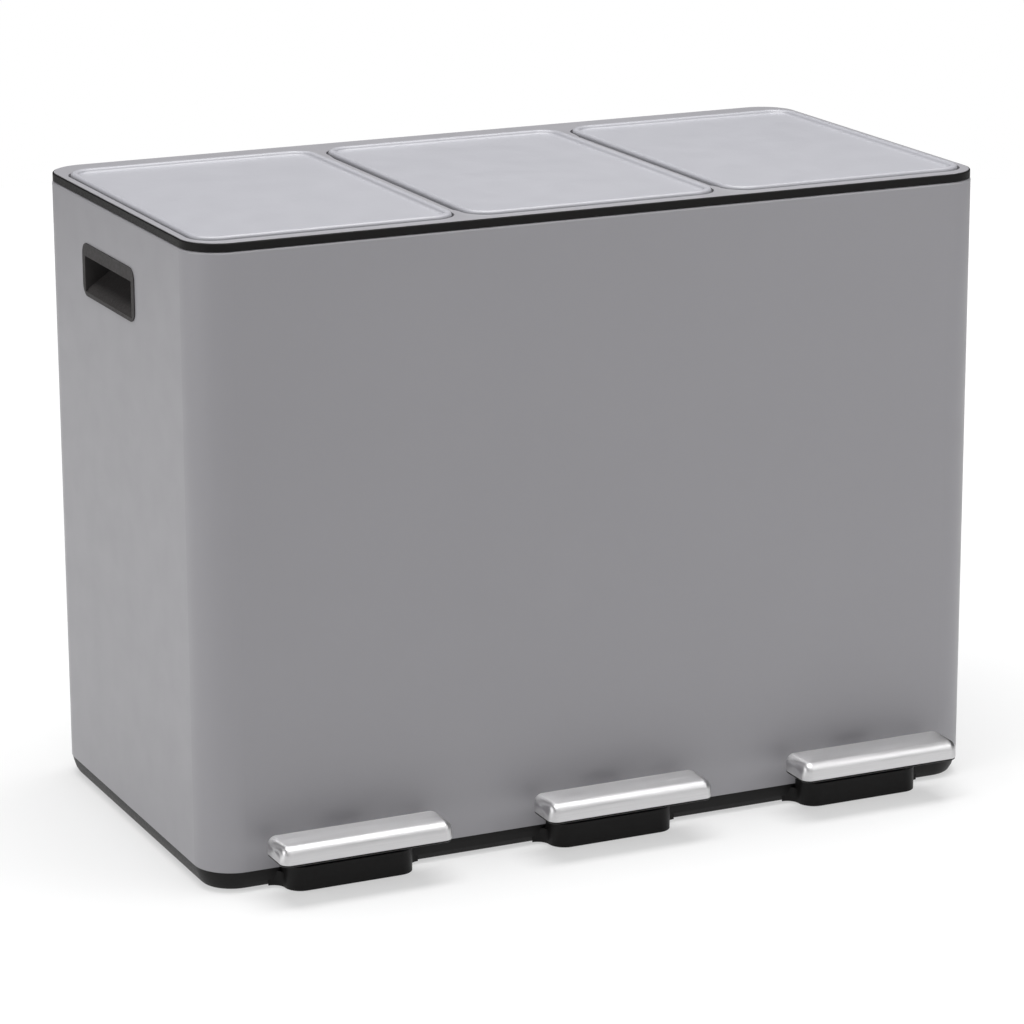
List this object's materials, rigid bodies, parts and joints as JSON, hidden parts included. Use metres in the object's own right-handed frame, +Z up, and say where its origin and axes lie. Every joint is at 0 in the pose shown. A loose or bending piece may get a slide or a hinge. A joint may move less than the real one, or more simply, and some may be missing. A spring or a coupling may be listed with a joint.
{
  "type": "three-compartment pedal bin",
  "caption": "Low wide pedal bin with separate lidded compartments, each with its own pedal, lever, push rod and lift-out bucket.",
  "frame": {"origin": "middle of the footprint, on the floor, pedals and screw heads included", "axes": "+X along the casing's width, -Y towards the pedals, +Z up"},
  "size_m": [0.6016, 0.3564, 0.455],
  "materials": {
    "casing_paint": "satin powder coat, warm mid grey",
    "lid_paint": "satin powder coat, light grey",
    "trim_paint": "satin powder coat, grey",
    "grip_plastic": "coarse moulded texture, charcoal",
    "black_plastic": "fine moulded texture",
    "bucket_plastic": "fine moulded texture",
    "brushed_steel": "brushed along the pedal's width",
    "zinc_steel": "zinc plated",
    "bright_steel": "ground bright",
    "bush_plastic": "natural acetal",
    "rubber": "matte"
  },
  "bodies": {
    "root": {"body_shell": "casing_paint", "base_tray": "black_plastic", "bucket_deck": "black_plastic", "top_collar": "black_plastic", "top_frame": "trim_paint", "rear_partition": "black_plastic", "grip_left": "grip_plastic", "grip_right": "grip_plastic", "rubber_feet": "rubber", "shell_screws": "zinc_steel", "lid_buffers": "rubber", "pedal_stops": "rubber", "bracket_screws": "zinc_steel", "bucket_1": "bucket_plastic", "hinge_bracket_1": "zinc_steel", "hinge_pin_1": "bright_steel", "pedal_axle_1": "bright_steel", "return_spring_1": "bright_steel", "bucket_2": "bucket_plastic", "hinge_bracket_2": "zinc_steel", "hinge_pin_2": "bright_steel", "pedal_axle_2": "bright_steel", "return_spring_2": "bright_steel", "bucket_3": "bucket_plastic", "hinge_bracket_3": "zinc_steel", "hinge_pin_3": "bright_steel", "pedal_axle_3": "bright_steel", "return_spring_3": "bright_steel"},
    "lid_1": {"lid_skin_1": "lid_paint", "lid_liner_1": "black_plastic"},
    "pedal_1": {"pedal_cap_1": "brushed_steel", "pedal_frame_1": "black_plastic", "pedal_lever_1": "zinc_steel", "lever_bush_1": "bush_plastic", "pedal_rivets_1": "zinc_steel"},
    "rod_1": {"push_rod_1": "bright_steel", "rod_tips_1": "bush_plastic", "rod_collar_1": "zinc_steel"},
    "lid_2": {"lid_skin_2": "lid_paint", "lid_liner_2": "black_plastic"},
    "pedal_2": {"pedal_cap_2": "brushed_steel", "pedal_frame_2": "black_plastic", "pedal_lever_2": "zinc_steel", "lever_bush_2": "bush_plastic", "pedal_rivets_2": "zinc_steel"},
    "rod_2": {"push_rod_2": "bright_steel", "rod_tips_2": "bush_plastic", "rod_collar_2": "zinc_steel"},
    "lid_3": {"lid_skin_3": "lid_paint", "lid_liner_3": "black_plastic"},
    "pedal_3": {"pedal_cap_3": "brushed_steel", "pedal_frame_3": "black_plastic", "pedal_lever_3": "zinc_steel", "lever_bush_3": "bush_plastic", "pedal_rivets_3": "zinc_steel"},
    "rod_3": {"push_rod_3": "bright_steel", "rod_tips_3": "bush_plastic", "rod_collar_3": "zinc_steel"}
  },
  "joints": [
    {"name": "lid_hinge_1", "type": "hinge", "parent": "root", "child": "lid_1", "pos_m": [-0.1978, 0.13435, 0.447], "axis": [-1, 0, 0], "range_deg": [0, 80]},
    {"name": "pedal_pivot_1", "type": "hinge", "parent": "root", "child": "pedal_1", "pos_m": [-0.2, -0.04325, 0.018], "axis": [1, 0, 0], "range_deg": [0, 8.36]},
    {"name": "rod_lift_1", "type": "slide", "parent": "root", "child": "rod_1", "axis": [0, 0, 1], "range_m": [0, 0.02391], "stiffness_N_per_m": 60, "deforming": ["return_spring_1"]},
    {"name": "lid_hinge_2", "type": "hinge", "parent": "root", "child": "lid_2", "pos_m": [0, 0.13435, 0.447], "axis": [-1, 0, 0], "range_deg": [0, 80]},
    {"name": "pedal_pivot_2", "type": "hinge", "parent": "root", "child": "pedal_2", "pos_m": [0, -0.04325, 0.018], "axis": [1, 0, 0], "range_deg": [0, 8.36]},
    {"name": "rod_lift_2", "type": "slide", "parent": "root", "child": "rod_2", "axis": [0, 0, 1], "range_m": [0, 0.02391], "stiffness_N_per_m": 60, "deforming": ["return_spring_2"]},
    {"name": "lid_hinge_3", "type": "hinge", "parent": "root", "child": "lid_3", "pos_m": [0.1978, 0.13435, 0.447], "axis": [-1, 0, 0], "range_deg": [0, 80]},
    {"name": "pedal_pivot_3", "type": "hinge", "parent": "root", "child": "pedal_3", "pos_m": [0.2, -0.04325, 0.018], "axis": [1, 0, 0], "range_deg": [0, 8.36]},
    {"name": "rod_lift_3", "type": "slide", "parent": "root", "child": "rod_3", "axis": [0, 0, 1], "range_m": [0, 0.02391], "stiffness_N_per_m": 60, "deforming": ["return_spring_3"]}
  ],
  "couplings": [
    {"joint": "pedal_pivot_1", "follows": "lid_hinge_1", "ratio": 0.1045},
    {"joint": "rod_lift_1", "follows": "lid_hinge_1", "m_per_rad": 0.017118},
    {"joint": "pedal_pivot_2", "follows": "lid_hinge_2", "ratio": 0.1045},
    {"joint": "rod_lift_2", "follows": "lid_hinge_2", "m_per_rad": 0.017118},
    {"joint": "pedal_pivot_3", "follows": "lid_hinge_3", "ratio": 0.1045},
    {"joint": "rod_lift_3", "follows": "lid_hinge_3", "m_per_rad": 0.017118}
  ]
}
